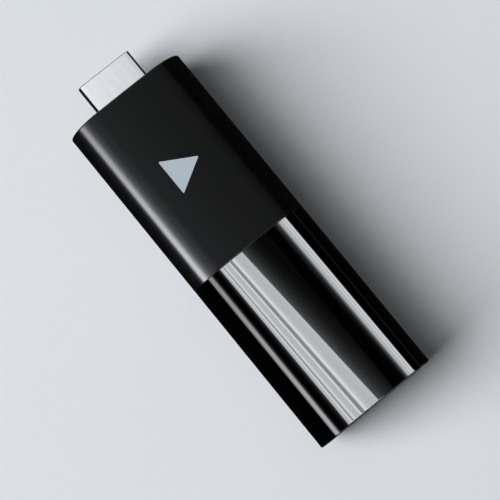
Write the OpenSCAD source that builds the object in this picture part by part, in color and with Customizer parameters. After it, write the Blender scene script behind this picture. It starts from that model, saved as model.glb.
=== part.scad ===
// Streaming stick: a flat-oval plastic body with an HDMI plug at the front end, a micro-USB power
// socket at the rear end, and one circuit board held in a tray between two metal heat spreaders.
// +Y points out of the plug, +Z is up, and the origin is under the middle of the whole thing.

/* [Body] */
// Width of the body
body_w = 30.2; // [29.6:0.1:38]
// Height of the body
body_h = 15.2; // [14:0.1:20]
// Length of the body without the plug
body_l = 87.2; // [80:0.1:110]
// Radius of the rounded long edges
side_r = 7.5; // [6.6:0.1:7.6]
// Wall of both sleeves
wall = 1.5; // [1.2:0.05:1.9]
// Thickness of the front wall
front_wall_t = 1.6; // [1.2:0.1:2.4]
// Thickness of the rear end plate
end_plate_t = 1.6; // [1.2:0.1:2.4]
// Length of the matte front sleeve
front_sleeve_l = 43.4; // [36:0.1:50]
// Visible gap between the two sleeves
seam_gap = 0.12; // [0.05:0.01:0.3]
// Length of the lap joint between the two sleeves
lap_l = 4; // [3:0.1:6]
// Depth of the end plate's collar
collar_l = 2.4; // [1.8:0.1:3]
// Thickness of the end plate's collar
collar_t = 1; // [0.8:0.05:1.3]
// Height of the snap ridges
snap_h = 0.3; // [0.2:0.05:0.4]

/* [Front mark] */
// Side of the triangular inlay
mark_side = 9; // [6:0.1:12]
// Thickness of the inlay
mark_t = 0.4; // [0.3:0.05:0.6]
// Distance from the front end to the middle of the inlay
mark_from_front = 21.4; // [14:0.1:28]

/* [HDMI plug] */
// Width of the plug's metal shell
plug_w = 13.9; // [11.6:0.05:16.7]
// Height of the plug's metal shell
plug_h = 4.45; // [4:0.05:5.3]
// Length of plug that stands out of the body
plug_out = 7.8; // [7:0.1:12]
// Length of shell inside the body
plug_in = 9.4; // [8.5:0.1:12]
// Sheet thickness of the shell
plug_wall = 0.4; // [0.3:0.05:0.5]
// Size of the chamfer on the two lower corners
plug_chamfer = 1.6; // [1.2:0.1:1.8]
// Depth of the plug's cavity
cavity_l = 7; // [6.5:0.1:8]
// Height of the plug's cavity
cavity_h = 1.9; // [1.6:0.05:2.1]
// Width of the plug's cavity
cavity_w = 11.6; // [10.5:0.1:12]
// Contacts in the upper row
upper_pins = 10; // [8:1:10]
// Contacts in the lower row
lower_pins = 9; // [7:1:9]
// Distance between contacts
pin_pitch = 1; // [0.9:0.05:1.05]
// Width of a contact
pin_w = 0.45; // [0.3:0.05:0.5]
// Thickness of a contact
pin_t = 0.2; // [0.15:0.05:0.3]

/* [Micro-USB socket] */
// Width of the socket's metal shell
usb_w = 7.5; // [7:0.1:9]
// Height of the socket's metal shell
usb_h = 2.5; // [2.4:0.05:3]
// Length of the socket
usb_l = 5.4; // [5:0.1:6]
// Sheet thickness of the socket's shell
usb_wall = 0.3; // [0.2:0.05:0.35]
// Distance from the end face in to the socket's mouth
usb_setback = 0.8; // [0.3:0.1:1]
// Contacts in the socket
usb_pins = 5; // [4:1:5]
// Distance between the socket's contacts
usb_pitch = 0.65; // [0.6:0.01:0.8]

/* [Circuit board] */
// Thickness of the board
board_t = 1; // [0.8:0.1:1.2]
// Gap between the board's edge and the sleeves
board_gap = 0.4; // [0.3:0.05:0.6]
// Side of the main processor
soc_w = 14; // [12:0.5:15]
// Height of the main processor
soc_h = 1.2; // [0.9:0.1:1.4]
// Height of the upper shield
upper_shield_h = 1.9; // [1.8:0.1:2.2]
// Height of the lower shield
lower_shield_h = 2.3; // [2:0.1:2.6]
// Sheet thickness of the shields
shield_t = 0.2; // [0.15:0.05:0.25]
// Radius of the board screws' shanks
screw_r = 0.7; // [0.6:0.05:0.8]

/* [Tray and heat spreaders] */
// Wall of the inner tray
tray_t = 1; // [0.8:0.05:1.2]
// Thickness of the upper heat spreader
upper_spreader_t = 1.2; // [1:0.05:1.4]
// Thickness of the lower heat spreader
lower_spreader_t = 1.2; // [1:0.05:1.4]
// Clearance between pieces that slide together
slide_gap = 0.1; // [0.05:0.01:0.2]
// Thickness of the pad between the upper shield and its heat spreader
upper_pad_t = 0.8; // [0.5:0.1:1]
// Length of the upper heat spreader
upper_spreader_l = 46; // [40:1:48]
// Length of the lower heat spreader
lower_spreader_l = 42; // [30:1:44]
// Width of the lower heat spreader
lower_spreader_w = 14.4; // [12:0.1:15]

/* [Rear light] */
// Radius of the light pipe
pipe_r = 0.8; // [0.5:0.05:1]
// Distance from the centre line to the light pipe
pipe_x = 8.2; // [7:0.1:9]

/* [Hidden] */
$fn = 96;
eps = 0.01;

// Stations along the length
y_tip = (body_l + plug_out) / 2;
y_front = y_tip - plug_out;
y_rear = -y_tip;
y_seam = y_front - front_sleeve_l;
y_wall = y_front - front_wall_t;
y_plate = y_rear + end_plate_t;
snap_gap = 0.1;
ridge_w = 4;
ridge_l = 0.8;
ridge_root = 0.3;
collar_gap = 0.05;

// The body's section: two round sides, a flat underside and a slightly crowned top
side_x = body_w / 2 - side_r;
rise = body_h - side_r;
crown_r = (side_x * side_x + rise * rise - side_r * side_r) / (2 * (rise - side_r));
crown_z = body_h - crown_r;
crown_facets = 1440;

// The inlay's middle, and its top, which is level with the crown at the triangle's tip
mark_r = mark_side / sqrt(3);
mark_x = -mark_r / 4;
mark_gap = 0.03;
mark_z1 = crown_z + sqrt(crown_r * crown_r - pow(mark_r + mark_x + 2 * mark_gap, 2));

// Heights
z_mid = body_h / 2;
board_z0 = z_mid - board_t / 2;
board_z1 = z_mid + board_t / 2;
room_w = body_w - 2 * wall;

// Tray
tray_inset = wall + slide_gap;
tray_floor_z = tray_inset + tray_t;
tray_y0 = y_plate + collar_l;
tray_y1 = y_wall;
boss_r = 1.7;

// Plug
plug_y0 = y_front - plug_in;
plug_z0 = z_mid - plug_h / 2;
plug_z1 = z_mid + plug_h / 2;
slot_gap = 0.15;
insulator_setback = 0.6;
insulator_y0 = plug_y0 + insulator_setback;
insulator_y1 = y_tip - insulator_setback;
tail_l = 2.6;
clamp_t = 0.3;
clamp_gap = 0.1;
clamp_front_lap = 4;
clamp_rear_lap = 0.8;

// Board
board_w = room_w - 2 * board_gap;
board_y1 = plug_y0 - 0.3;
board_y0 = tray_y0 + 0.8;
tail_y0 = y_plate + 0.5;
tail_w = usb_w + 5.4;
edge_notch_r = 1;
edge_lane = 2.5;
boss_x = board_w / 2 - 3;
screw_ys = [board_y1 - 3.6, board_y0 + 12.2];
head_r = screw_r * 1.8;
head_h = 0.8;
screw_l = 3.6;
recess = [head_r * 1.2, 0.3, 0.4];

// Socket
usb_y0 = y_rear + usb_setback;
usb_y1 = usb_y0 + usb_l;
usb_hole_gap = 0.25;
notch_gap = 0.25;
tab_w = 1.3;
tab_l = 1.6;
tab_x = usb_w / 2 + tab_w / 2 - 0.05;
tongue_z = z_mid - 0.1;
tongue_t = 0.7;
usb_back_t = 1.4;
usb_pin = [0.3, usb_l - usb_back_t, 0.15];

// Shields and what they cover
chip_gap = 1.2;
shield_margin = 2.2;
memory_size = [8.6, 11.8, 0.9];
flash_size = [11.5, 13, 1];
upper_shield_w = board_w - 2 * edge_lane;
upper_shield_y1 = board_y1 - 9.4;
upper_shield_y0 = upper_shield_y1 - 2 * shield_margin - soc_w - chip_gap - memory_size[1];
shield_y = (upper_shield_y0 + upper_shield_y1) / 2;
frame_inset = shield_t + 0.05;
frame_rim = 0.8;
lid_z0 = board_z1 + 0.3;
lid_z1 = board_z1 + upper_shield_h;
soc_y = upper_shield_y1 - shield_margin - soc_w / 2;
memory_y = upper_shield_y0 + shield_margin + memory_size[1] / 2;
lower_shield_w = flash_size[0] + 5.9;
lower_shield_l = flash_size[1] + 10;
lower_shield_z0 = board_z0 - lower_shield_h;

// Pads and heat spreaders
soc_pad_w = soc_w - 1;
soc_pad_t = upper_shield_h - shield_t - soc_h;
pedestal_w = soc_w + 1;
pedestal_z0 = lid_z1 + upper_pad_t;
spreader_z0 = z_mid + 3.2;
lower_spreader_z1 = tray_floor_z + lower_spreader_t;
lower_pad_w = lower_spreader_w - 0.4;

// Power, wireless and small parts
coil_size = [4, 4, 2];
coil_pitch = 5.4;
coil_y = upper_shield_y0 - 4.4;
power_chip_size = [4, 4, 0.8];
power_chip_y = shield_y - lower_shield_l / 2 - 5;
surge_size = [2.5, 1, 0.5];
surge_pitch = 3.1;
surge_y = board_y1 - tail_l - 2;
clock_a_size = [1.6, 2, 0.6];
clock_b_size = [2, 1.6, 0.6];
capacitor_size = [0.6, 1.1, 0.6];
coil_capacitor_size = [1.2, 0.7, 0.7];
resistor_size = [1, 0.5, 0.35];
upper_capacitor_pitch = 2.1;
lower_capacitor_pitch = 2.3;
resistor_pitch = 1.5;
wireless_w = 11.4;
wireless_board_t = 0.6;
wireless_cover_h = 1.7;
wireless_cover_t = 0.15;
wireless_chip_size = [5, 5, 0.9];
wireless_y = board_y0 + 12.6;
antenna_x = board_w / 2 - 3.6;
antenna_y = board_y0 + 5.4;
antenna_t = 0.3;
antenna_h = 3.2;
antenna_foot = [1.2, 1.6, antenna_t];
antenna_arm = [antenna_t, 6.4, 1];
antenna_riser_x = antenna_x - (antenna_foot[0] - antenna_t) / 2;
led_size = [1.6, 0.8, 0.7];
led_y = board_y0 + 2.6;
pipe_bar = 1.2;
pipe_gap = 0.1;

// ---- shared shapes ----

// The section, drawn inset from the outer surface by a constant distance
module oval(inset) {
    r = side_r - inset;
    reach = (crown_r - inset) / (crown_r - side_r);
    tangent_x = side_x * reach;
    tangent_z = crown_z + (side_r - crown_z) * reach;
    for (side = [-1, 1]) translate([side * side_x, side_r]) circle(r);
    intersection() {
        translate([0, crown_z]) circle(crown_r - inset, $fn = crown_facets);
        polygon([
            [-side_x, inset], [side_x, inset],
            [tangent_x, tangent_z], [tangent_x, body_h + 1],
            [-tangent_x, body_h + 1], [-tangent_x, tangent_z]
        ]);
    }
}

// An outline in X and Z, carried along Y from y0 to y1
module along(y0, y1) {
    translate([0, y1, 0]) rotate([90, 0, 0]) linear_extrude(y1 - y0) children();
}

// A length of the oval section
module oval_bar(y0, y1, inset) {
    along(y0, y1) oval(inset);
}

// A box given by its middle in X and Y and its lowest Z
module block(x, y, z, size) {
    translate([x - size[0] / 2, y - size[1] / 2, z]) cube(size);
}

// Short ridges on the flat top and underside of a spigot, larger by grow for their pockets
module snap_ridges(y, inset, grow) {
    h = snap_h + grow;
    size = [ridge_w + 2 * grow, ridge_l + 2 * grow, h + ridge_root];
    block(0, y, inset - h, size);
    block(0, y, body_h - inset - ridge_root, size);
}

// The plug's outline, grown outward by grow
module plug_outline(grow) {
    half = plug_w / 2 + grow;
    cut = plug_chamfer;
    low = plug_z0 - grow;
    high = plug_z1 + grow;
    polygon([
        [-half, high], [half, high], [half, low + cut], [half - cut, low],
        [-half + cut, low], [-half, low + cut]
    ]);
}

// The socket's outline: flat top, with the two lower corners cut
module usb_outline(grow) {
    half = usb_w / 2 + grow;
    cut = usb_h * 0.3;
    low = z_mid - usb_h / 2 - grow;
    high = z_mid + usb_h / 2 + grow;
    polygon([
        [-half, high], [half, high], [half, low + cut], [half - cut, low],
        [-half + cut, low], [-half, low + cut]
    ]);
}

// The triangular inlay's outline, pointing along +X
module mark_outline(grow) {
    r = mark_r + 2 * grow;
    translate([mark_x, y_front - mark_from_front])
        polygon([[r, 0], [-r / 2, r * sqrt(3) / 2], [-r / 2, -r * sqrt(3) / 2]]);
}

// Places of the four board screws
module at_screws() {
    for (x = [-boss_x, boss_x], y = screw_ys) translate([x, y, 0]) children();
}

// Two rows of small chips beside the shields
module chip_rows(xs, y0, step, count, z, size) {
    for (x = xs, i = [0 : count - 1]) block(x, y0 + i * step, z, size);
}

// ---- casing ----

module front_sleeve() {
    color("#1c1c1e") difference() {
        oval_bar(y_seam, y_front, 0);
        oval_bar(y_seam - 1, y_wall, wall);
        oval_bar(y_seam - 1, y_seam + lap_l, wall / 2);
        snap_ridges(y_seam + lap_l / 2, wall / 2 + slide_gap, snap_gap);
        along(y_wall - 1, y_front + 1) plug_outline(slot_gap);
        translate([0, 0, mark_z1 - mark_t]) linear_extrude(mark_t + 2) mark_outline(mark_gap);
    }
}

module rear_sleeve() {
    color("#08080a") difference() {
        union() {
            oval_bar(y_plate, y_seam - seam_gap, 0);
            oval_bar(y_seam - 1, y_seam + lap_l, wall / 2 + slide_gap);
            snap_ridges(y_seam + lap_l / 2, wall / 2 + slide_gap, 0);
        }
        oval_bar(y_plate - 1, y_seam + lap_l + 1, wall);
        snap_ridges(y_plate + collar_l / 2, wall, snap_gap);
    }
}

module end_plate() {
    color("#0a0a0c") difference() {
        union() {
            oval_bar(y_rear, y_plate, 0);
            oval_bar(y_plate - eps, y_plate + collar_l, wall + collar_gap);
            snap_ridges(y_plate + collar_l / 2, wall, 0);
        }
        oval_bar(y_plate, y_plate + collar_l + 1, wall + collar_gap + collar_t);
        along(y_rear - 1, y_plate + 1) usb_outline(usb_hole_gap);
        translate([pipe_x, y_plate + 1, z_mid]) rotate([90, 0, 0]) cylinder(r = pipe_r, h = end_plate_t + 2);
    }
}

module front_mark() {
    color("#dfe3ea") translate([0, 0, mark_z1 - mark_t]) linear_extrude(mark_t) mark_outline(0);
}

// ---- inner frame ----

module inner_tray() {
    slot = [1.4, 30, tray_t + 2];
    slot_x = room_w / 2 - 4.1;
    relief = [usb_w + 3, 2 * (usb_y1 - tray_y0) + 2, tray_t + 2];
    color("#2c2d30") difference() {
        intersection() {
            union() {
                difference() {
                    oval_bar(tray_y0, tray_y1, tray_inset);
                    oval_bar(tray_y0 - 1, tray_y1 + 1, tray_inset + tray_t);
                }
                at_screws() cylinder(r = boss_r, h = board_z0);
                // saddle under the plug's shell
                translate([-plug_w / 2 + plug_chamfer, plug_y0, tray_floor_z - 0.2])
                    cube([plug_w - 2 * plug_chamfer, tray_y1 - plug_y0, plug_z0 - tray_floor_z + 0.2]);
            }
            oval_bar(tray_y0, tray_y1, tray_inset);
            translate([-body_w, tray_y0, 0]) cube([2 * body_w, tray_y1 - tray_y0, board_z0]);
        }
        at_screws() translate([0, 0, board_z0 - screw_l]) cylinder(r = screw_r, h = screw_l + 1);
        // openings in the floor on each side of the lower heat spreader
        for (side = [-1, 1]) block(side * slot_x, shield_y, tray_inset - 1, slot);
        // relief under the socket
        block(0, tray_y0, tray_inset - 1, relief);
    }
}

module main_board() {
    notch = [usb_w + 2 * notch_gap, 2 * (usb_y1 + notch_gap - tail_y0), board_t + 2];
    color("#1d5a3a") difference() {
        union() {
            translate([-board_w / 2, board_y0, board_z0]) cube([board_w, board_y1 - board_y0, board_t]);
            translate([-tail_w / 2, tail_y0, board_z0]) cube([tail_w, board_y0 - tail_y0 + 1, board_t]);
        }
        block(0, tail_y0, board_z0 - 1, notch);
        at_screws() translate([0, 0, board_z0 - 1]) cylinder(r = screw_r + 0.1, h = board_t + 2);
        // round notches in the long edges
        for (x = [-board_w / 2, board_w / 2])
            translate([x, soc_y, board_z0 - 1]) cylinder(r = edge_notch_r, h = board_t + 2);
    }
}

module board_screws() {
    color("#c4c6c9") at_screws() translate([0, 0, board_z1]) difference() {
        union() {
            cylinder(r = head_r, h = head_h);
            translate([0, 0, -screw_l]) cylinder(r = screw_r, h = screw_l + eps);
        }
        for (turn = [0, 90]) rotate([0, 0, turn])
            block(0, 0, head_h - recess[2], [recess[0], recess[1], head_h]);
    }
}

// ---- HDMI plug ----

module plug_shell() {
    color("#d6d9dd") along(plug_y0, y_tip) difference() {
        plug_outline(0);
        plug_outline(-plug_wall);
    }
}

// A contact lies in the roof or the floor of the cavity and runs back to the board's upper or lower face
module plug_contact(x, side) {
    strip_z = side > 0 ? z_mid + cavity_h / 2 : z_mid - cavity_h / 2 - pin_t;
    tail_z = side > 0 ? board_z1 : board_z0 - pin_t;
    step_z0 = min(strip_z, tail_z);
    step_z1 = max(strip_z, tail_z) + pin_t;
    tail_y0 = board_y1 - tail_l;
    strip_l = insulator_y1 - insulator_setback - insulator_y0;
    translate([x - pin_w / 2, 0, 0]) {
        translate([0, insulator_y0, strip_z]) cube([pin_w, strip_l, pin_t]);
        translate([0, insulator_y0, step_z0]) cube([pin_w, 2 * pin_t, step_z1 - step_z0]);
        translate([0, tail_y0, tail_z]) cube([pin_w, insulator_y0 + pin_t - tail_y0, pin_t]);
    }
}

module contact_row(count, side) {
    for (i = [0 : count - 1]) plug_contact((i - (count - 1) / 2) * pin_pitch, side);
}

module plug_insulator() {
    cavity = [cavity_w, cavity_l + 1, cavity_h];
    color("#141416") difference() {
        along(insulator_y0, insulator_y1) plug_outline(-plug_wall);
        translate([-cavity_w / 2, y_tip - cavity_l, z_mid - cavity_h / 2]) cube(cavity);
        contact_row(upper_pins, 1);
        contact_row(lower_pins, -1);
    }
}

module plug_upper_contacts() {
    color("#d9b25a") contact_row(upper_pins, 1);
}

module plug_lower_contacts() {
    color("#d9b25a") contact_row(lower_pins, -1);
}

// Sheet cover over the solder tails, soldered to the board on each side
module plug_clamp() {
    half = plug_w / 2 + clamp_gap;
    y0 = board_y1 - tail_l - clamp_rear_lap;
    y1 = plug_y0 + clamp_front_lap;
    leg = [clamp_t, board_y1 - y0, plug_z1 - board_z1 + eps];
    color("#b9bcc0") {
        translate([-half - clamp_t, y0, plug_z1]) cube([2 * (half + clamp_t), y1 - y0, clamp_t]);
        for (x = [-half - clamp_t, half]) translate([x, y0, board_z1]) cube(leg);
    }
}

// ---- micro-USB socket ----

module usb_shell() {
    color("#c9ccd0") {
        along(usb_y0, usb_y1) difference() {
            usb_outline(0);
            usb_outline(-usb_wall);
        }
        for (x = [-tab_x, tab_x], y = [tail_y0 + tab_l, usb_y1 - tab_l / 2])
            block(x, y, board_z1, [tab_w + 0.1, tab_l, usb_wall]);
    }
}

module usb_pin_bars() {
    for (i = [0 : usb_pins - 1])
        block((i - (usb_pins - 1) / 2) * usb_pitch, usb_y1 - usb_pin[1] / 2 - 0.2, tongue_z, usb_pin);
}

module usb_insulator() {
    color("#101012") difference() {
        union() {
            along(usb_y1 - usb_back_t, usb_y1) usb_outline(-usb_wall);
            block(0, (usb_y0 + usb_y1) / 2, tongue_z, [usb_w / 2, usb_l - 1.6, tongue_t]);
        }
        usb_pin_bars();
    }
}

module usb_contacts() {
    color("#d9b25a") usb_pin_bars();
}

// ---- chips on the board ----

module main_processor() {
    color("#26272a") block(0, soc_y, board_z1, [soc_w, soc_w, soc_h]);
}

module memory_chips() {
    color("#202124") for (side = [-1, 1])
        block(side * (memory_size[0] / 2 + 0.5), memory_y, board_z1, memory_size);
}

module flash_chip() {
    color("#202124") block(0, shield_y, board_z0 - flash_size[2], flash_size);
}

module power_chip() {
    color("#202124") block(0, power_chip_y, board_z0 - power_chip_size[2], power_chip_size);
}

module power_coils() {
    color("#4a4b4e") for (i = [-1 : 1]) block(i * coil_pitch, coil_y, board_z1, coil_size);
}

module clock_crystals() {
    color("#c2c5c9") {
        block(-upper_shield_w / 2 + 1.9, soc_y + 3, board_z1, clock_a_size);
        block(board_w / 2 - 3, wireless_y + 6.4, board_z1, clock_b_size);
    }
}

module wireless_board() {
    color("#215f40") block(0, wireless_y, board_z1, [wireless_w, wireless_w, wireless_board_t]);
}

module wireless_chip() {
    color("#202124") block(0, wireless_y, board_z1 + wireless_board_t, wireless_chip_size);
}

module wireless_cover() {
    outer = wireless_w - 0.6;
    inner = outer - 2 * wireless_cover_t;
    z = board_z1 + wireless_board_t;
    color("#bfc2c6") difference() {
        block(0, wireless_y, z, [outer, outer, wireless_cover_h]);
        block(0, wireless_y, z - 1, [inner, inner, wireless_cover_h - wireless_cover_t + 1]);
    }
}

// Two stamped antennas: a foot, a riser and an arm along the board's edge
module antennas() {
    riser = [antenna_t, antenna_foot[1], antenna_h];
    color("#cfa24c") for (side = [-1, 1]) {
        block(side * antenna_x, antenna_y, board_z1, antenna_foot);
        block(side * antenna_riser_x, antenna_y, board_z1, riser);
        block(side * antenna_riser_x, antenna_y, board_z1 + antenna_h - antenna_t, antenna_arm);
    }
}

module surge_chips() {
    color("#202124") for (i = [-1.5 : 1 : 1.5]) block(i * surge_pitch, surge_y, board_z1, surge_size);
}

module upper_capacitors() {
    edge_x = board_w / 2 - 1.1;
    coil_edge_y = coil_y + coil_size[1] / 2 + 1.2;
    color("#b08a5c") {
        chip_rows([-edge_x, edge_x], upper_shield_y0 + 1, upper_capacitor_pitch, 8, board_z1, capacitor_size);
        chip_rows([-6.9, -2.7, 2.7], coil_edge_y, 1, 1, board_z1, coil_capacitor_size);
    }
}

module lower_capacitors() {
    x = lower_shield_w / 2 + 1.4;
    y0 = shield_y - lower_shield_l / 2 + 1;
    z = board_z0 - capacitor_size[2];
    color("#b08a5c") chip_rows([-x, x], y0, lower_capacitor_pitch, 9, z, capacitor_size);
}

module resistors() {
    x = wireless_w / 2 + 0.5;
    z = board_z0 - resistor_size[2];
    color("#1a1a1c") chip_rows([-x, x], wireless_y - 2.6, resistor_pitch, 3, z, resistor_size);
}

// ---- shields, pads and heat spreaders ----

module upper_shield_frame() {
    w = upper_shield_w - 2 * frame_inset;
    l = upper_shield_y1 - upper_shield_y0 - 2 * frame_inset;
    h = upper_shield_h - shield_t;
    color("#c6c8cb") difference() {
        block(0, shield_y, board_z1, [w, l, h]);
        block(0, shield_y, board_z1 - 1, [w - 2 * shield_t, l - 2 * shield_t, h - shield_t + 1]);
        block(0, shield_y, board_z1, [w - 2 * frame_rim, l - 2 * frame_rim, h + 1]);
    }
}

module upper_shield_lid() {
    w = upper_shield_w;
    l = upper_shield_y1 - upper_shield_y0;
    color("#d2d4d7") difference() {
        block(0, shield_y, lid_z0, [w, l, lid_z1 - lid_z0]);
        block(0, shield_y, lid_z0 - 1, [w - 2 * shield_t, l - 2 * shield_t, lid_z1 - lid_z0 - shield_t + 1]);
    }
}

module lower_shield() {
    inner_w = lower_shield_w - 2 * shield_t;
    inner_l = lower_shield_l - 2 * shield_t;
    color("#cccfd2") difference() {
        block(0, shield_y, lower_shield_z0, [lower_shield_w, lower_shield_l, lower_shield_h]);
        block(0, shield_y, lower_shield_z0 + shield_t, [inner_w, inner_l, lower_shield_h]);
    }
}

module processor_pad() {
    color("#8fa3b8") block(0, soc_y, board_z1 + soc_h, [soc_pad_w, soc_pad_w, soc_pad_t]);
}

module upper_pad() {
    color("#8fa3b8") block(0, soc_y, lid_z1, [pedestal_w - 1, pedestal_w - 1, upper_pad_t]);
}

module lower_pad() {
    pad_t = lower_shield_z0 - lower_spreader_z1;
    color("#8fa3b8") block(0, shield_y, lower_spreader_z1, [lower_pad_w, lower_pad_w, pad_t]);
}

// Pressed plate that follows the roof of the sleeves, with a pedestal over the processor
module upper_heat_spreader() {
    inset = wall + slide_gap;
    y0 = shield_y - upper_spreader_l / 2;
    y1 = shield_y + upper_spreader_l / 2;
    color("#aeb1b5") {
        intersection() {
            difference() {
                oval_bar(y0, y1, inset);
                oval_bar(y0 - 1, y1 + 1, inset + upper_spreader_t);
            }
            translate([-body_w, y0, spreader_z0]) cube([2 * body_w, upper_spreader_l, body_h]);
        }
        intersection() {
            oval_bar(y0, y1, inset + upper_spreader_t / 2);
            block(0, soc_y, pedestal_z0, [pedestal_w, pedestal_w, body_h]);
        }
    }
}

module lower_heat_spreader() {
    color("#a6a9ad") block(0, shield_y, tray_floor_z, [lower_spreader_w, lower_spreader_l, lower_spreader_t]);
}

// ---- rear light ----

module status_led() {
    color("#f2efe2") block(pipe_x, led_y, board_z1, led_size);
}

// Round face in the end plate, then a bar that steps up over the board to the light
module light_pipe() {
    bar_y0 = board_y0 - 0.3 - pipe_bar;
    bar_y1 = led_y - led_size[1] / 2 - pipe_gap;
    bar_z0 = board_z1 + pipe_gap;
    color("#e6ecf2") {
        translate([pipe_x, bar_y0 + pipe_bar, z_mid]) rotate([90, 0, 0])
            cylinder(r = pipe_r, h = bar_y0 + pipe_bar - y_rear);
        translate([pipe_x - pipe_bar / 2, bar_y0, z_mid])
            cube([pipe_bar, pipe_bar, bar_z0 + pipe_bar - z_mid]);
        translate([pipe_x - pipe_bar / 2, bar_y0, bar_z0]) cube([pipe_bar, bar_y1 - bar_y0, pipe_bar]);
    }
}

front_sleeve();
rear_sleeve();
end_plate();
front_mark();
inner_tray();
main_board();
board_screws();
plug_shell();
plug_insulator();
plug_upper_contacts();
plug_lower_contacts();
plug_clamp();
usb_shell();
usb_insulator();
usb_contacts();
main_processor();
memory_chips();
flash_chip();
power_chip();
power_coils();
clock_crystals();
wireless_board();
wireless_chip();
wireless_cover();
antennas();
surge_chips();
upper_capacitors();
lower_capacitors();
resistors();
upper_shield_frame();
upper_shield_lid();
lower_shield();
processor_pad();
upper_pad();
lower_pad();
upper_heat_spreader();
lower_heat_spreader();
status_led();
light_pipe();
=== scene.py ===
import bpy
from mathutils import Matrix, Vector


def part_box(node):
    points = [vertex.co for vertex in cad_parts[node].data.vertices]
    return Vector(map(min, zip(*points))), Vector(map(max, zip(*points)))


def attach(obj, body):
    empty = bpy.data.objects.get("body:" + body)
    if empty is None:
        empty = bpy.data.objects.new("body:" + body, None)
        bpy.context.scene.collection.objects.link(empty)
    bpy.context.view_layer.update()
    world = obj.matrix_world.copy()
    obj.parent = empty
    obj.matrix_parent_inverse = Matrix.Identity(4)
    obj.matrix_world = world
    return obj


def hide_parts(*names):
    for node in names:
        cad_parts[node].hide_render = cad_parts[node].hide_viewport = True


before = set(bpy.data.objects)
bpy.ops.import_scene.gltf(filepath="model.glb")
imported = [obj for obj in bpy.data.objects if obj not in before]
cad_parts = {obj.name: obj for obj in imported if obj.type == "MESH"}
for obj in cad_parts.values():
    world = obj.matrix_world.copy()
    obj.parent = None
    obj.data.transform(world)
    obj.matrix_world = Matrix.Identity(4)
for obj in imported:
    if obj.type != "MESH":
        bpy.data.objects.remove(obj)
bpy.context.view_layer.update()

import math

import bmesh
import bpy
from mathutils import Matrix, Vector

MM = 0.001

# ---------------------------------------------------------------- driving dimensions, in metres

front_lo, front_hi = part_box("front_sleeve")
plug_lo, plug_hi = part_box("plug_shell")
usb_lo, usb_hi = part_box("usb_shell")
mark_lo, mark_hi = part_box("front_mark")
plate_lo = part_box("end_plate")[0]
pipe_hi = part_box("light_pipe")[1]

# the body's section: a flat base, round sides and a crown that meets them at a tangent
HALF_W = front_hi.x
HEIGHT = front_hi.z
SIDE_R = 7.5 * MM
SIDE_X = HALF_W - SIDE_R
RISE = HEIGHT - SIDE_R
CROWN_R = (SIDE_X ** 2 + RISE ** 2 - SIDE_R ** 2) / (2 * (RISE - SIDE_R))
CROWN_Z = HEIGHT - CROWN_R

# walls, laps and gaps
WALL = 1.5 * MM
FRONT_WALL = 1.6 * MM
PLATE_T = 1.6 * MM
LAP = 4 * MM
SEAM_GAP = 0.12 * MM
SLIDE_GAP = 0.05 * MM
SPIGOT_BEVEL = 0.1 * MM
COLLAR_L = 2.4 * MM
COLLAR_T = 1 * MM
PLUG_WALL = 0.4 * MM
PLUG_CUT = 1.6 * MM
SLOT_GAP = 0.05 * MM
SLOT_MOUTH = 0.12 * MM
SLOT_BEVEL = 0.08 * MM
USB_WALL = 0.3 * MM
USB_CUT = 0.75 * MM
USB_GAP = 0.25 * MM
PIPE_R = 0.8 * MM
MARK_GAP = 0.03 * MM
CUTTER_ABOVE = 1 * MM

# radii of the rounded rims
SLEEVE_EDGE = 0.22 * MM
SEAM_EDGE = 0.06 * MM
PLATE_EDGE = 0.38 * MM
HOLE_EDGE = 0.12 * MM
MARK_EDGE = 0.05 * MM
PLUG_LIP = 0.18 * MM
USB_LIP = 0.08 * MM

# radii of the corners of outlines
PLUG_CORNER = 0.55 * MM
USB_CORNER = 0.4 * MM
USB_HOLE_CORNER = 0.35 * MM
MARK_CORNER = 0.22 * MM
RECESS_CORNER = 0.25 * MM

# how far beside a rounded rim an extra ring lies, which keeps the rim's shading off the face next to it
FRONT_FACE_HOLD = 0.25 * MM
SLEEVE_HOLD = 0.15 * MM
SEAM_HOLD = 0.08 * MM
PLATE_HOLD = 0.1 * MM
PLATE_FACE_HOLD = 0.12 * MM
HOLE_HOLD = 0.08 * MM
MARK_HOLD = 0.05 * MM
PLUG_HOLD = 0.1 * MM
USB_HOLD = 0.05 * MM

# faces that meet at less than this many degrees are shaded as one
SHARP = 35

# how many rows the long skins have
FRONT_ROWS = 44
REAR_ROWS = 42
PLUG_ROWS = 16

Y_FRONT = front_hi.y
Y_SEAM = front_lo.y
Y_PLATE = plate_lo.y + PLATE_T
Y_REAR = plate_lo.y
Z_PLUG = (plug_lo.z + plug_hi.z) / 2
Z_USB = (usb_lo.z + usb_hi.z) / 2

# ---------------------------------------------------------------- outlines
# An outline is a list of (x, z, dx, dz): a point across the body and the direction outward from it.


def arc(cx, cz, radius, start, turn, steps):
    """Points of an arc round (cx, cz), without its last one."""
    points = []
    for i in range(steps):
        a = start + turn * i / steps
        points.append((cx + radius * math.cos(a), cz + radius * math.sin(a), math.cos(a), math.sin(a)))
    return points


def body_outline(side_steps=44, crown_steps=72, base_steps=14):
    """The body's section, counter-clockwise from the left end of its base."""
    tangent = math.atan2(SIDE_R - CROWN_Z, SIDE_X)
    points = [(-SIDE_X + 2 * SIDE_X * i / base_steps, 0.0, 0.0, -1.0) for i in range(base_steps)]
    points += arc(SIDE_X, SIDE_R, SIDE_R, -math.pi / 2, tangent + math.pi / 2, side_steps)
    points += arc(0.0, CROWN_Z, CROWN_R, tangent, math.pi - 2 * tangent, crown_steps)
    points += arc(-SIDE_X, SIDE_R, SIDE_R, math.pi - tangent, tangent + math.pi / 2, side_steps)
    return points


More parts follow.
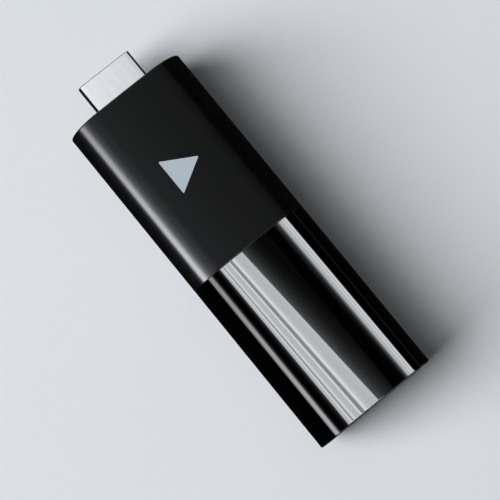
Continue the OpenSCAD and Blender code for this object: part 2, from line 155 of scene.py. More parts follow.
def rounded(corners, radius, steps=10, rows=6):
    """A convex outline with rounded corners, counter-clockwise, each straight side divided into rows."""
    arcs = []
    for i, (x, z) in enumerate(corners):
        last_x, last_z = corners[i - 1]
        next_x, next_z = corners[(i + 1) % len(corners)]
        a = Vector((x - last_x, z - last_z)).normalized()
        b = Vector((next_x - x, next_z - z)).normalized()
        turn = math.atan2(a.x * b.y - a.y * b.x, a.dot(b))
        start = math.atan2(-a.x, a.y)
        back = radius * math.tan(turn / 2)
        cx = x - a.x * back - math.cos(start) * radius
        cz = z - a.y * back - math.sin(start) * radius
        end = start + turn
        last = (cx + radius * math.cos(end), cz + radius * math.sin(end), math.cos(end), math.sin(end))
        arcs.append(arc(cx, cz, radius, start, turn, steps) + [last])
    points = []
    for this, following in zip(arcs, arcs[1:] + arcs[:1]):
        x0, z0, dx, dz = this[-1]
        x1, z1 = following[0][:2]
        points += this
        points += [(x0 + (x1 - x0) * k / rows, z0 + (z1 - z0) * k / rows, dx, dz) for k in range(1, rows)]
    return points


def cut_box(half, low, high, cut):
    """Corners of a connector's outline: a rectangle whose two lower corners are cut off."""
    left = [(-half, high), (-half, low + cut), (-half + cut, low)]
    return [(half - cut, low), (half, low + cut), (half, high)] + left


PARALLEL = 1e-15
SLACK = 1e-6


def seen_from(outline, target, centre):
    """Points of target, a convex list of corners, on the rays from centre through each point of outline."""
    found = []
    for x, z, _, _ in outline:
        ray = Vector((x - centre[0], z - centre[1]))
        nearest = None
        for i, (ax, az) in enumerate(target):
            bx, bz = target[(i + 1) % len(target)]
            ex, ez = bx - ax, bz - az
            rx, rz = ax - centre[0], az - centre[1]
            det = ray.x * -ez + ex * ray.y
            if abs(det) < PARALLEL:
                continue
            far = (rx * -ez + ex * rz) / det
            share = (ray.x * rz - ray.y * rx) / det
            on_side = -SLACK <= share <= 1 + SLACK
            if far > 0 and on_side and (nearest is None or far < nearest):
                nearest = far
        found.append((centre[0] + ray.x * nearest, centre[1] + ray.y * nearest, 0.0, 0.0))
    return found


def plug_opening(gap):
    """The plug's outline grown by gap, with as many points as the body's."""
    corners = cut_box(plug_hi.x + gap, plug_lo.z - gap, plug_hi.z + gap, PLUG_CUT)
    return seen_from(BODY, corners, (0.0, Z_PLUG))


def mark_corners(grow):
    """Corners of the play triangle as seen from above, with its sides moved out by grow.
    It is equilateral, so that its length is 1.5 times the radius of the circle through its corners."""
    circle_r = (mark_hi.x - mark_lo.x) / 1.5
    x = mark_hi.x - circle_r
    y = (mark_lo.y + mark_hi.y) / 2
    r = circle_r + 2 * grow
    return [(x + r * math.cos(a), y + r * math.sin(a)) for a in (0, 2 * math.pi / 3, 4 * math.pi / 3)]


# ---------------------------------------------------------------- rings


def quarter(steps):
    """Angles of a quarter turn, both ends included."""
    return [math.pi / 2 * k / steps for k in range(steps + 1)]


def along(y0, y1, rows):
    """Places that divide y0 to y1 into rows, without the two ends."""
    return [y0 + (y1 - y0) * i / rows for i in range(1, rows)]


def loop(outline, y, inset=0.0):
    """A ring of points across the body at y, moved inward by inset."""
    return [Vector((x - dx * inset, y, z - dz * inset)) for x, z, dx, dz in outline]


def upright(outline, z, inset=0.0):
    """A level ring at height z of an outline drawn from above, moved inward by inset."""
    return [Vector((x - dx * inset, y - dy * inset, z)) for x, y, dx, dy in outline]


def rim(outline, y, into, radius, steps, base=0.0, side=1):
    """Rings of a rounded rim from the end face at y to the side. into is 1 or -1, the way the body goes.
    side is 1 for an outer side, or -1 for an inner one, which lies base inside the outline."""
    return [loop(outline, y + into * radius * (1 - math.cos(a)), base + side * radius * (1 - math.sin(a)))
            for a in quarter(steps)]


# ---------------------------------------------------------------- mesh building


def new_piece(name, bm):
    """An object of the mesh built in bm, smooth up to SHARP degrees."""
    bmesh.ops.recalc_face_normals(bm, faces=bm.faces)
    for f in bm.faces:
        f.smooth = True
    mesh = bpy.data.meshes.new(name)
    bm.to_mesh(mesh)
    bm.free()
    mesh.set_sharp_from_angle(angle=math.radians(SHARP))
    piece = bpy.data.objects.new(name, mesh)
    bpy.context.scene.collection.objects.link(piece)
    return piece


def add_rings(bm, rings, closed=False):
    """Joins each ring of points to the next with quads; with closed, also the last to the first."""
    made = [[bm.verts.new(p) for p in ring] for ring in rings]
    pairs = list(zip(made, made[1:]))
    if closed:
        pairs.append((made[-1], made[0]))
    for one, two in pairs:
        n = len(one)
        for i in range(n):
            j = (i + 1) % n
            bm.faces.new((one[i], one[j], two[j], two[i]))
    return made


def fill_between(bm, rings):
    """Fills a flat face bounded by the first ring, with the others as holes in it."""
    edges = []
    for ring in rings:
        for i, v in enumerate(ring):
            w = ring[(i + 1) % len(ring)]
            edges.append(bm.edges.get((v, w)) or bm.edges.new((v, w)))
    bmesh.ops.triangle_fill(bm, use_beauty=True, use_dissolve=False, edges=edges)


def closed_shell(name, rings):
    """A shell whose last ring meets its first."""
    bm = bmesh.new()
    add_rings(bm, rings, closed=True)
    return new_piece(name, bm)


def capped_stack(name, rings):
    """A solid of stacked rings with a flat face at each end."""
    bm = bmesh.new()
    made = add_rings(bm, rings)
    bm.faces.new(made[0][::-1])
    bm.faces.new(made[-1])
    return new_piece(name, bm)


# ---------------------------------------------------------------- the casing


def build_front_sleeve():
    """The matte sleeve: skin, front wall with the plug's opening, and the rebate for the other's spigot."""
    slot = plug_opening(SLOT_GAP)
    mouth = plug_opening(SLOT_MOUTH)
    rings = [loop(slot, Y_FRONT - SLOT_BEVEL)]
    rings += [loop(mouth, Y_FRONT)]
    rings += [loop(BODY, Y_FRONT, SLEEVE_EDGE + FRONT_FACE_HOLD)]
    rings += rim(BODY, Y_FRONT, -1, SLEEVE_EDGE, 5)
    rings += [loop(BODY, Y_FRONT - SLEEVE_EDGE - SLEEVE_HOLD)]
    rings += [loop(BODY, y) for y in along(Y_FRONT - SLEEVE_EDGE, Y_SEAM + SEAM_EDGE, FRONT_ROWS)]
    rings += [loop(BODY, Y_SEAM + SEAM_EDGE + SEAM_HOLD)]
    rings += rim(BODY, Y_SEAM, 1, SEAM_EDGE, 4)[::-1]
    rings += [loop(BODY, Y_SEAM, SEAM_EDGE + SEAM_HOLD)]
    rings += [loop(BODY, y, WALL / 2) for y in (Y_SEAM, Y_SEAM + LAP)]
    rings += [loop(BODY, y, WALL) for y in (Y_SEAM + LAP, Y_FRONT - FRONT_WALL)]
    rings += [loop(slot, Y_FRONT - FRONT_WALL)]
    return closed_shell("matte_front_shell", rings)


def cut_recess(sleeve):
    """Cuts the mark's recess into the sleeve with a prism of the mark's own outline."""
    outline = rounded(mark_corners(MARK_GAP), RECESS_CORNER, 8, 8)
    prism = capped_stack("cutter", [upright(outline, z) for z in (mark_lo.z, mark_hi.z + CUTTER_ABOVE)])
    cut = sleeve.modifiers.new("recess", "BOOLEAN")
    cut.operation = "DIFFERENCE"
    cut.solver = "EXACT"
    cut.object = prism
    bpy.context.view_layer.update()
    evaluated = sleeve.evaluated_get(bpy.context.evaluated_depsgraph_get())
    finished = bpy.data.meshes.new_from_object(evaluated)
    sleeve.modifiers.clear()
    sleeve.data = finished
    finished.set_sharp_from_angle(angle=math.radians(SHARP))
    bpy.data.objects.remove(prism)


def build_mark():
    """The bright inlay, a triangle with a fine rounded edge."""
    outline = rounded(mark_corners(0.0), MARK_CORNER, 8, 8)
    rings = [upright(outline, mark_lo.z)]
    rings += [upright(outline, mark_hi.z - MARK_EDGE * (1 - math.sin(a)), MARK_EDGE * (1 - math.cos(a)))
              for a in quarter(4)]
    rings += [upright(outline, mark_hi.z, MARK_EDGE + MARK_HOLD)]
    return capped_stack("mark_inlay", rings)


def build_rear_sleeve():
    """The gloss sleeve, with the spigot that enters the front sleeve."""
    face = Y_SEAM - SEAM_GAP
    tip = Y_SEAM + LAP
    spigot = WALL / 2 + SLIDE_GAP
    rings = [loop(BODY, tip, spigot + SPIGOT_BEVEL)]
    rings += [loop(BODY, y, spigot) for y in (tip - SPIGOT_BEVEL, face)]
    rings += [loop(BODY, face, SEAM_EDGE + SEAM_HOLD)]
    rings += rim(BODY, face, -1, SEAM_EDGE, 4)
    rings += [loop(BODY, face - SEAM_EDGE - SEAM_HOLD)]
    rings += [loop(BODY, y) for y in along(face - SEAM_EDGE, Y_PLATE, REAR_ROWS)]
    rings += [loop(BODY, Y_PLATE)]
    rings += [loop(BODY, y, WALL) for y in (Y_PLATE, tip)]
    return closed_shell("gloss_rear_shell", rings)


def build_end_plate():
    """The end plate with its collar, the socket's opening and the light pipe's hole."""
    outer = WALL + SLIDE_GAP
    inner = outer + COLLAR_T
    rings = [loop(BODY, y, inner) for y in (Y_PLATE, Y_PLATE + COLLAR_L)]
    rings += [loop(BODY, y, outer) for y in (Y_PLATE + COLLAR_L, Y_PLATE)]
    rings += [loop(BODY, Y_PLATE)]
    rings += [loop(BODY, Y_REAR + PLATE_EDGE + PLATE_HOLD)]
    rings += rim(BODY, Y_REAR, 1, PLATE_EDGE, 6)[::-1]
    rings += [loop(BODY, Y_REAR, PLATE_EDGE + PLATE_FACE_HOLD)]
    socket_corners = cut_box(usb_hi.x + USB_GAP, usb_lo.z - USB_GAP, usb_hi.z + USB_GAP, USB_CUT)
    socket_hole = rounded(socket_corners, USB_HOLE_CORNER)
    pipe_hole = arc(pipe_hi.x - PIPE_R, Z_USB, PIPE_R, 0.0, 2 * math.pi, 48)
    bm = bmesh.new()
    made = add_rings(bm, rings)
    holes = []
    for outline in (socket_hole, pipe_hole):
        hole = [loop(outline, Y_REAR, -HOLE_EDGE - HOLE_HOLD)]
        hole += rim(outline, Y_REAR, 1, HOLE_EDGE, 4, side=-1)
        hole += [loop(outline, Y_PLATE)]
        holes.append(add_rings(bm, hole))
    fill_between(bm, [made[-1]] + [hole[0] for hole in holes])
    fill_between(bm, [made[0]] + [hole[-1] for hole in holes])
    return new_piece("gloss_end_cap", bm)


# ---------------------------------------------------------------- the connectors


def build_plug():
    """The plug's shell: folded sheet with rounded corners and a rolled mouth."""
    outline = rounded(cut_box(plug_hi.x, plug_lo.z, plug_hi.z, PLUG_CUT), PLUG_CORNER, 10, 10)
    rings = [loop(outline, plug_lo.y)]
    rings += [loop(outline, y) for y in along(plug_lo.y, plug_hi.y, PLUG_ROWS)]
    rings += [loop(outline, plug_hi.y - PLUG_LIP - PLUG_HOLD)]
    rings += rim(outline, plug_hi.y, -1, PLUG_LIP, 5)[::-1]
    rings += rim(outline, plug_hi.y, -1, PLUG_LIP, 5, PLUG_WALL, side=-1)
    rings += [loop(outline, plug_lo.y, PLUG_WALL)]
    return closed_shell("plug_sleeve", rings)


def build_socket():
    """The socket's shell, with a rolled mouth."""
    outline = rounded(cut_box(usb_hi.x, usb_lo.z, usb_hi.z, USB_CUT), USB_CORNER, 8, 8)
    rings = [loop(outline, y) for y in (usb_hi.y, usb_lo.y + USB_LIP + USB_HOLD)]
    rings += rim(outline, usb_lo.y, 1, USB_LIP, 4)[::-1]
    rings += rim(outline, usb_lo.y, 1, USB_LIP, 4, USB_WALL, side=-1)
    rings += [loop(outline, usb_hi.y, USB_WALL)]
    return closed_shell("socket_sleeve", rings)


BODY = body_outline()

front_shell = build_front_sleeve()
cut_recess(front_shell)
mark = build_mark()
rear_shell = build_rear_sleeve()
end_shell = build_end_plate()
plug = build_plug()
socket = build_socket()

# ---------------------------------------------------------------- materials


def surface(name, base, rough, metallic=0.0, tone=0.12, tone_mm=4.0, grain_mm=0.2, grain=0.0,
            stretch=(1, 1, 1), rough_span=0.04, coat=0.0, transmission=0.0):
    """A shader with a slow change of tone, a fine grain in bump and a little change of roughness.
    tone and rough_span are half ranges, and grain is the bump's depth in mm. stretch multiplies the
    patterns' frequency along x, y and z."""
    mat = bpy.data.materials.new(name)
    mat.use_nodes = True
    nodes, links = mat.node_tree.nodes, mat.node_tree.links
    shader = nodes["Principled BSDF"]
    shader.inputs["Metallic"].default_value = metallic
    shader.inputs["IOR"].default_value = 1.5
    shader.inputs["Coat Weight"].default_value = coat
    shader.inputs["Coat Roughness"].default_value = 0.08
    shader.inputs["Transmission Weight"].default_value = transmission
    where = nodes.new("ShaderNodeTexCoord")
    place = nodes.new("ShaderNodeMapping")
    place.inputs["Scale"].default_value = stretch
    links.new(where.outputs["Object"], place.inputs["Vector"])

    def noise(size_mm, detail):
        tex = nodes.new("ShaderNodeTexNoise")
        tex.inputs["Scale"].default_value = 1000.0 / size_mm
        tex.inputs["Detail"].default_value = detail
        links.new(place.outputs["Vector"], tex.inputs["Vector"])
        return tex

    slow = noise(tone_mm, 3.0)
    fine = noise(grain_mm, 2.0)
    ramp = nodes.new("ShaderNodeValToRGB")
    dark, light = ramp.color_ramp.elements
    dark.position = 0.3
    light.position = 0.7
    dark.color = [c * (1 - tone) for c in base] + [1]
    light.color = [min(1, c * (1 + tone)) for c in base] + [1]
    links.new(slow.outputs["Fac"], ramp.inputs["Fac"])
    links.new(ramp.outputs["Color"], shader.inputs["Base Color"])
    level = nodes.new("ShaderNodeMapRange")
    level.inputs["To Min"].default_value = max(0.0, rough - rough_span)
    level.inputs["To Max"].default_value = min(1.0, rough + rough_span)
    links.new(fine.outputs["Fac"], level.inputs["Value"])
    links.new(level.outputs["Result"], shader.inputs["Roughness"])
    if grain:
        bump = nodes.new("ShaderNodeBump")
        bump.inputs["Strength"].default_value = 1.0
        bump.inputs["Distance"].default_value = grain * MM
        links.new(fine.outputs["Fac"], bump.inputs["Height"])
        links.new(bump.outputs["Normal"], shader.inputs["Normal"])
    return mat


PIANO_BLACK = dict(base=(0.0015, 0.0015, 0.0017), rough=0.02, tone=0.2, tone_mm=9, grain_mm=3,
                   rough_span=0.005)

FINISHES = {
    # the casing
    "matte_case": dict(base=(0.011, 0.011, 0.012), rough=0.2, tone=0.08, tone_mm=6, grain_mm=0.12,
                       grain=0.0012),
    "gloss_case": PIANO_BLACK,
    "gloss_end": PIANO_BLACK,
    "tray_plastic": dict(base=(0.045, 0.046, 0.05), rough=0.55, tone=0.15, tone_mm=3, grain_mm=0.15,
                         grain=0.004),
    # metals
    "bright_mark": dict(base=(0.62, 0.68, 0.74), rough=0.24, metallic=1.0, tone=0.03, tone_mm=3,
                        grain_mm=0.3, grain=0.0002, stretch=(1, 6, 1), rough_span=0.03),
    "plug_steel": dict(base=(0.77, 0.77, 0.77), rough=0.17, metallic=1.0, tone=0.03, tone_mm=5,
                       grain_mm=0.25, grain=0.0002, stretch=(4, 1, 1), rough_span=0.03),
    "clamp_steel": dict(base=(0.6, 0.61, 0.62), rough=0.38, metallic=1.0, tone=0.08, tone_mm=3,
                        grain=0.001, stretch=(5, 1, 1)),
    "socket_steel": dict(base=(0.66, 0.67, 0.68), rough=0.3, metallic=1.0, tone=0.06, tone_mm=3,
                         grain=0.0006, stretch=(5, 1, 1)),
    "screw_steel": dict(base=(0.55, 0.56, 0.57), rough=0.34, metallic=1.0, tone=0.08, tone_mm=1.5,
                        grain_mm=0.15, grain=0.001),
    "crystal_can": dict(base=(0.62, 0.63, 0.65), rough=0.28, metallic=1.0, tone=0.05, tone_mm=1.5,
                        grain_mm=0.12, grain=0.0006, stretch=(1, 5, 1)),
    "shield_tin": dict(base=(0.68, 0.69, 0.7), rough=0.4, metallic=1.0, tone=0.1, tone_mm=3, grain_mm=0.3,
                       grain=0.0015, stretch=(3, 1, 1)),
    "spreader_aluminium": dict(base=(0.66, 0.67, 0.69), rough=0.45, metallic=1.0, tone=0.07, tone_mm=3,
                               grain_mm=0.25, grain=0.0015, stretch=(1, 5, 1)),
    "antenna_metal": dict(base=(0.74, 0.6, 0.36), rough=0.32, metallic=1.0, tone=0.1, tone_mm=2,
                          grain=0.001),
    "contact_gold": dict(base=(0.83, 0.61, 0.27), rough=0.24, metallic=1.0, tone=0.08, tone_mm=1,
                         grain_mm=0.1, grain=0.0004),
    # the circuit board and what sits on it
    "circuit_board": dict(base=(0.02, 0.11, 0.055), rough=0.3, tone=0.25, tone_mm=1.2, grain_mm=0.35,
                          grain=0.004, coat=0.4),
    "black_insulator": dict(base=(0.015, 0.015, 0.016), rough=0.5, tone=0.2, tone_mm=2, grain_mm=0.1,
                            grain=0.002),
    "chip_package": dict(base=(0.03, 0.03, 0.033), rough=0.55, tone=0.15, tone_mm=2, grain_mm=0.08,
                         grain=0.003),
    "coil_ferrite": dict(base=(0.09, 0.09, 0.1), rough=0.6, tone=0.2, tone_mm=0.8, grain_mm=0.1,
                         grain=0.004),
    "capacitor_ceramic": dict(base=(0.46, 0.33, 0.21), rough=0.45, tone=0.15, tone_mm=0.5, grain_mm=0.06,
                              grain=0.002),
    "resistor_ceramic": dict(base=(0.03, 0.03, 0.032), rough=0.4, tone=0.25, tone_mm=0.4, grain_mm=0.06,
                             grain=0.002),
    "thermal_pad": dict(base=(0.3, 0.4, 0.52), rough=0.75, tone_mm=1.2, grain=0.006),
    "led_lens": dict(base=(0.88, 0.87, 0.8), rough=0.15, tone=0.05, tone_mm=0.5, grain_mm=0.1,
                     grain=0.0005),
    "light_guide": dict(base=(0.8, 0.84, 0.88), rough=0.12, tone=0.04, tone_mm=1, grain=0.0005,
                        transmission=0.5),
}
SURFACES = {name: surface(name, **finish) for name, finish in FINISHES.items()}

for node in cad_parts.values():
    for held in node.material_slots:
        held.material = SURFACES[held.material.name.split(".")[0]]


def dress(piece, slot_name, replaced):
    """Gives the piece the material of its slot and its body, and hides the CAD node that it replaces."""
    piece.data.materials.clear()
    piece.data.materials.append(SURFACES[slot_name])
    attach(piece, "root")
    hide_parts(replaced)


dress(front_shell, "matte_case", "front_sleeve")
dress(rear_shell, "gloss_case", "rear_sleeve")
dress(end_shell, "gloss_end", "end_plate")
dress(mark, "bright_mark", "front_mark")
dress(plug, "plug_steel", "plug_shell")
dress(socket, "socket_steel", "usb_shell")

# ---------------------------------------------------------------- floor

FLOOR_HALF = 2.5
FLOOR_CELLS = 8
FLOOR_GREY = (0.767, 0.775, 0.782)


def build_floor():
    """A plain pale floor, which no piece mirrors and which throws no shadow on the panels' light."""
    bm = bmesh.new()
    bmesh.ops.create_grid(bm, x_segments=FLOOR_CELLS, y_segments=FLOOR_CELLS, size=FLOOR_HALF)
    piece = new_piece("floor", bm)
    paper = surface("floor_paper", FLOOR_GREY, 0.9, tone=0.006, tone_mm=60, grain_mm=1.5, rough_span=0.03)
    paper.node_tree.nodes["Principled BSDF"].inputs["Specular IOR Level"].default_value = 0
    piece.data.materials.append(paper)
    piece.visible_glossy = False
    piece.visible_shadow = False
    return piece


floor = build_floor()

# ---------------------------------------------------------------- light
# Each panel lights one group, because in the photo the sleeves, plug and floor mirror different things.

GLOSS = [rear_shell, end_shell]
MATTE = [front_shell]
METAL = [plug, mark, socket]


def link_group(name, pieces, state="INCLUDE"):
    """A group for light linking, of the pieces that a light reaches or, with EXCLUDE, leaves out."""
    group = bpy.data.collections.new(name)
    for piece in pieces:
        group.objects.link(piece)
    for entry in group.collection_objects:
        entry.light_linking.link_state = state
    return group


only_gloss = link_group("lit_gloss", GLOSS)
only_matte = link_group("lit_matte", MATTE)
only_mark = link_group("lit_mark", [mark])
only_plug = link_group("lit_plug", [plug, socket])
only_floor = link_group("lit_floor", [floor])
not_shell = link_group("not_shell", GLOSS + METAL + MATTE, "EXCLUDE")

# about the middle of the object, at which most panels are aimed
OBJECT_AT = Vector((0, 0, 0.01))


def panel(name, centre, aim, width, length, radiance, group, stops=None, skew=0.0, fan=0.0, fade=0.0,
          slope=0.0, gate=None, diffuse=False, colour=(0.97, 1.0, 1.04)):
    """A soft panel at centre facing aim, in metres, whose width runs from the object's left to its right.
    stops are (metres across from its centre, brightness). skew and fan slant that pattern along the length.
    gate is where, across, the light fades in. fade is the share of the length over which each end fades,
    and slope a change of brightness along the length."""
    data = bpy.data.lights.new(name, "AREA")
    data.shape = "RECTANGLE"
    data.size = width
    data.size_y = length
    data.energy = radiance * math.pi * width * length
    data.color = colour
    light = bpy.data.objects.new(name, data)
    bpy.context.scene.collection.objects.link(light)
    away = (Vector(centre) - Vector(aim)).normalized()
    side = Vector((0, 1, 0)).cross(away).normalized()
    light.location = centre
    light.rotation_euler = Matrix((side, away.cross(side), away)).transposed().to_euler()
    light.visible_camera = False
    light.visible_diffuse = diffuse
    light.light_linking.receiver_collection = group
    data.use_nodes = True
    nodes, links = data.node_tree.nodes, data.node_tree.links

    def feed(socket, value):
        if isinstance(value, (int, float)):
            socket.default_value = value
        else:
            links.new(value, socket)

    def calc(operation, one, two):
        node = nodes.new("ShaderNodeMath")
        node.operation = operation
        feed(node.inputs[0], one)
        feed(node.inputs[1], two)
        return node.outputs[0]

    def ease(value, start, end):
        node = nodes.new("ShaderNodeMapRange")
        node.interpolation_type = "SMOOTHSTEP"
        node.inputs["From Min"].default_value = start
        node.inputs["From Max"].default_value = end
        links.new(value, node.inputs["Value"])
        return node.outputs["Result"]

    split = nodes.new("ShaderNodeSeparateXYZ")
    links.new(nodes.new("ShaderNodeNewGeometry").outputs["Parametric"], split.inputs[0])
    across = calc("MULTIPLY", calc("SUBTRACT", split.outputs["X"], 0.5), width)
    down = calc("MULTIPLY", calc("SUBTRACT", split.outputs["Y"], 0.5), length)
    glow = 1.0
    if stops:
        slanted = calc("ADD", across, calc("MULTIPLY", down, skew))
        slanted = calc("DIVIDE", slanted, calc("SUBTRACT", 1.0, calc("MULTIPLY", down, fan)))
        first, last = stops[0][0], stops[-1][0]
        ramp = nodes.new("ShaderNodeValToRGB")
        elements = ramp.color_ramp.elements
        for i, (at, bright) in enumerate(stops):
            stop = elements[i] if i < 2 else elements.new(1.0)
            stop.position = (at - first) / (last - first)
            stop.color = (bright, bright, bright, 1)
        links.new(calc("DIVIDE", calc("SUBTRACT", slanted, first), last - first), ramp.inputs["Fac"])
        glow = ramp.outputs["Color"]
    if gate:
        glow = calc("MULTIPLY", glow, ease(across, *gate))
    if slope:
        glow = calc("MULTIPLY", glow, calc("ADD", calc("MULTIPLY", down, slope), 1.0))
    if fade:
        for start, end in ((-0.5, fade - 0.5), (0.5, 0.5 - fade)):
            glow = calc("MULTIPLY", glow, ease(down, start * length, end * length))
    feed(nodes["Emission"].inputs["Strength"], glow)


def arc_panel(name, centre_angle, distance, angles, length, radiance, group, y=0.0, gate=None, **more):
    """A panel given by (degrees from straight up towards +X, brightness) as the object sees it."""
    a = math.radians(centre_angle)
    away = Vector((math.sin(a), 0, math.cos(a)))
    across = Vector((math.cos(a), 0, -math.sin(a)))

    def place(angle):
        return distance * math.tan(math.radians(angle - centre_angle))

    first, last = place(angles[0][0]), place(angles[-1][0])
    middle = (first + last) / 2
    centre = away * distance + across * middle + Vector((0, y, 0))
    stops = [(place(angle) - middle, bright) for angle, bright in angles]
    if gate:
        gate = [place(angle) - middle for angle in gate]
    width = last - first
    panel(name, centre, centre - away, width, length, radiance, group, stops=stops, gate=gate, **more)


def ceiling_panel(name, left, right, bands, radiance, skew, fan=0.0):
    """A level panel above the gloss sleeve, given by (mm across the body, brightness)."""
    middle = (left + right) / 2
    stops = [(x * MM - middle, bright) for x, bright in bands]
    panel(name, (middle, 0, CEILING_Z), (middle, 0, 0), right - left, CEILING_L, radiance, only_gloss,
          stops=stops, skew=skew + fan * middle, fan=fan)


# the floor's light: a tall softbox at the left, a little to the front, and a weak even one above
SOFTBOX = [(-82, 0.0), (-74, 1.05), (-66, 0.85), (-60, 0.6), (-54, 0.58), (-44, 0.42), (-38, 0.3),
           (-31, 0.14), (-20, 0.1), (-10, 0.0)]
arc_panel("floor_key", -50, 3.0, SOFTBOX, 2.6, 17.6, not_shell, y=0.9, fade=0.15, diffuse=True)
panel("floor_fill", (0.4, 0.4, 0.9), OBJECT_AT, 1.2, 1.2, 0.2, only_floor, diffuse=True)

# what the gloss sleeve mirrors: a strip at the left, a banded ceiling panel and a strip at the right
LEFT_STRIP = [(-60, 0), (-56.5, 0.45), (-53, 0.95), (-46, 1), (-43.5, 0.85), (-40.5, 0.25), (-36, 0.02),
              (-30, 0)]
arc_panel("gloss_left", -48, 0.9, LEFT_STRIP, 0.6, 8.4, only_gloss, slope=-3.0, skew=0.14)

CEILING_Z = 0.8
CEILING_L = 0.3
BAND = [(-41, 0.66), (-35, 0.66), (-33, 0.95), (-30.5, 0.95), (-28.6, 0.38), (-25.4, 0.38), (-23.6, 0.97),
        (-20.5, 0.9), (-16, 0.67), (-6, 0.66), (-3.6, 1.0), (-0.5, 0.95), (1.5, 0.3), (8, 0.34), (10, 0.5),
        (12.5, 1.08), (15.5, 1.0), (22, 0.72), (32, 0.67), (45, 0.69), (53, 0.75), (54, 0.095), (65, 0.055),
        (76, 0.029), (93, 0.012), (108, 0.006), (125, 0.003)]
ceiling_panel("gloss_band", -0.041, 0.125, BAND, 17.0, 0.145, fan=2.2)
TAIL = [(-280, 0.0), (-230, 0.003), (-180, 0.005), (-150, 0.01), (-110, 0.025), (-80, 0.06), (-64, 0.25),
        (-58, 0.66), (-10, 0.66)]
ceiling_panel("gloss_band_tail", -0.261, -0.041, TAIL, 17.0, 0.5)

RIGHT_STRIP = [(6, 0), (10, 0.02), (12, 0.05), (14.7, 0.12), (16.5, 0.25), (18, 0.36), (19.5, 0.66),
               (21, 0.95), (30.5, 1.0), (32, 1.36), (34, 1.36), (36, 1.02), (39.5, 1.0), (41.3, 1.4),
               (44.8, 1.36), (46.8, 0.4), (48.5, 0.0), (58, 0.0)]
arc_panel("gloss_right", 32, 0.8, RIGHT_STRIP, 0.3, 11.2, only_gloss, skew=0.85, gate=(10.6, 13.0))
arc_panel("gloss_glint", 80, 0.8, [(77.5, 1), (82.5, 1)], 0.3, 0.15, only_gloss)

# what the matte sleeve picks up: a low softbox at the left and a faint ceiling
LOW_BOX = [(-80, 0.0), (-75.5, 1.0), (-66, 1.0), (-60, 0.74), (-55, 0.34), (-49, 0.18), (-42, 0.12),
           (-34, 0.08), (-26, 0.05), (-20, 0.035), (-11, 0.0)]
arc_panel("matte_left", -50, 0.9, LOW_BOX, 0.9, 14.2, only_matte, y=0.1, slope=-3.5)
DOME = [(-28, 0.0), (-18, 0.36), (-10, 0.42), (-3, 0.36), (1, 0.28), (5, 0.21), (12, 0.185), (22, 0.17),
        (32, 0.14), (45, 0.11), (58, 0.0)]
arc_panel("matte_top", 15, 0.9, DOME, 0.9, 1.08, only_matte)

# what the plug mirrors: a panel above, brighter at the left, and a sky towards the rear
PLUG_TOP = [(-0.2, 1.4), (-0.03, 1.36), (0.03, 0.9), (0.2, 0.85)]
panel("plug_top", (0.065, 0.2, 0.8), (0.065, 0.2, 0), 0.4, 0.5, 0.81, only_plug, stops=PLUG_TOP, fade=0.15,
      slope=2.6, colour=(0.96, 1.0, 1.05))
panel("plug_sky", (0, -0.62, 0.9), OBJECT_AT, 2.2, 0.8, 0.75, only_plug, fade=0.25)

# what the mark mirrors: an even sky
panel("mark_sky", (0, 0, 1.0), (0, 0, 0), 2.6, 2.6, 0.69, only_mark, fade=0.2, colour=(0.96, 1.0, 1.04))

# what the other sides mirror, towards the front and rear ends: a wall that is brighter towards its top, a
# slanted panel above it and the pale floor. way is 1 for the front end and -1 for the rear
END_WALL_Y = 0.95
END_WALL_Z = 0.45
END_WALL_W = 2.2
END_WALL_L = 0.8
SLANT_Y = 0.7
SLANT_Z = 0.8
SLANT_W = 1.8
SLANT_L = 0.5
GROUND_Y = {1: 1.0, -1: -0.85}
GROUND_Z = -0.3
GROUND_W = 2.6
GROUND_L = 1.2
PAIR_X = 0.8
PAIR_W = 0.9


def end_wall(name, way, radiance, group, x=0, aim=OBJECT_AT, width=END_WALL_W):
    centre = (x, END_WALL_Y * way, END_WALL_Z)
    panel(name, centre, aim, width, END_WALL_L, radiance, group, fade=0.4, slope=-1.8 * way)


def end_slant(name, way, radiance, group, x=0, aim=OBJECT_AT, width=SLANT_W):
    panel(name, (x, SLANT_Y * way, SLANT_Z), aim, width, SLANT_L, radiance, group, fade=0.3)


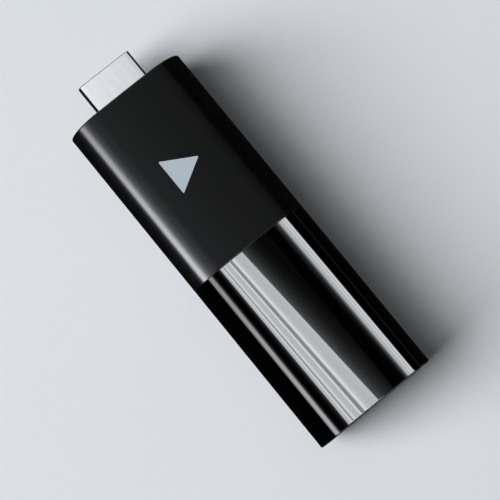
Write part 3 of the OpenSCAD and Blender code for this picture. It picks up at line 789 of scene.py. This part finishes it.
def end_ground(name, way, radiance, group, x=0, width=GROUND_W):
    y = GROUND_Y[way]
    panel(name, (x, y, GROUND_Z), (x, y, 0), width, GROUND_L, radiance, group, fade=0.15)


for end, way, plug_slant in (("front", 1, 0.9), ("rear", -1, 0.1)):
    end_wall(f"{end}_wall_gloss", way, 2.4, only_gloss)
    end_slant(f"{end}_slant_gloss", way, 1.6, only_gloss)
    end_ground(f"{end}_floor_gloss", way, 0.7, only_gloss)
    end_wall(f"{end}_wall_matte", way, 2.4, only_matte)
    end_slant(f"{end}_slant_matte", way, 1.2, only_matte)
    end_ground(f"{end}_floor_matte", way, 0.7, only_matte)
    end_wall(f"{end}_wall_mark", way, 1.2, only_mark)
    end_ground(f"{end}_floor_mark", way, 0.7, only_mark)
    # the plug's come in pairs, and the gap between them leaves its rolled lip dark as seen from above
    for hand, x in (("left", -PAIR_X), ("right", PAIR_X)):
        aim = (x / 2, 0, OBJECT_AT.z)
        end_wall(f"{end}_wall_{hand}", way, 2.0, only_plug, x, aim, PAIR_W)
        end_slant(f"{end}_slant_{hand}", way, plug_slant, only_plug, x, aim, PAIR_W)
        end_ground(f"{end}_floor_{hand}", way, 0.8, only_plug, x, PAIR_W)

world = bpy.data.worlds.new("studio")
world.use_nodes = True
world.node_tree.nodes["Background"].inputs["Color"].default_value = (0.9, 0.95, 1.0, 1)
world.node_tree.nodes["Background"].inputs["Strength"].default_value = 0.008
bpy.context.scene.world = world

# ---------------------------------------------------------------- camera
# the photo's view: almost straight down, with the object turned across the picture

LENS_MM = 131.44
SENSOR_MM = 36
CAMERA_AT = (-0.03159, -0.04058, 0.40579)
CAMERA_TURN = (0.120845, -0.003859, -0.682400)

camera_data = bpy.data.cameras.new("camera")
camera_data.lens = LENS_MM
camera_data.sensor_width = SENSOR_MM
camera_data.clip_start = 0.01
camera_data.clip_end = 20
camera = bpy.data.objects.new("camera", camera_data)
bpy.context.scene.collection.objects.link(camera)
camera.location = CAMERA_AT
camera.rotation_euler = CAMERA_TURN
bpy.context.scene.camera = camera
bpy.context.scene.view_settings.view_transform = "Standard"
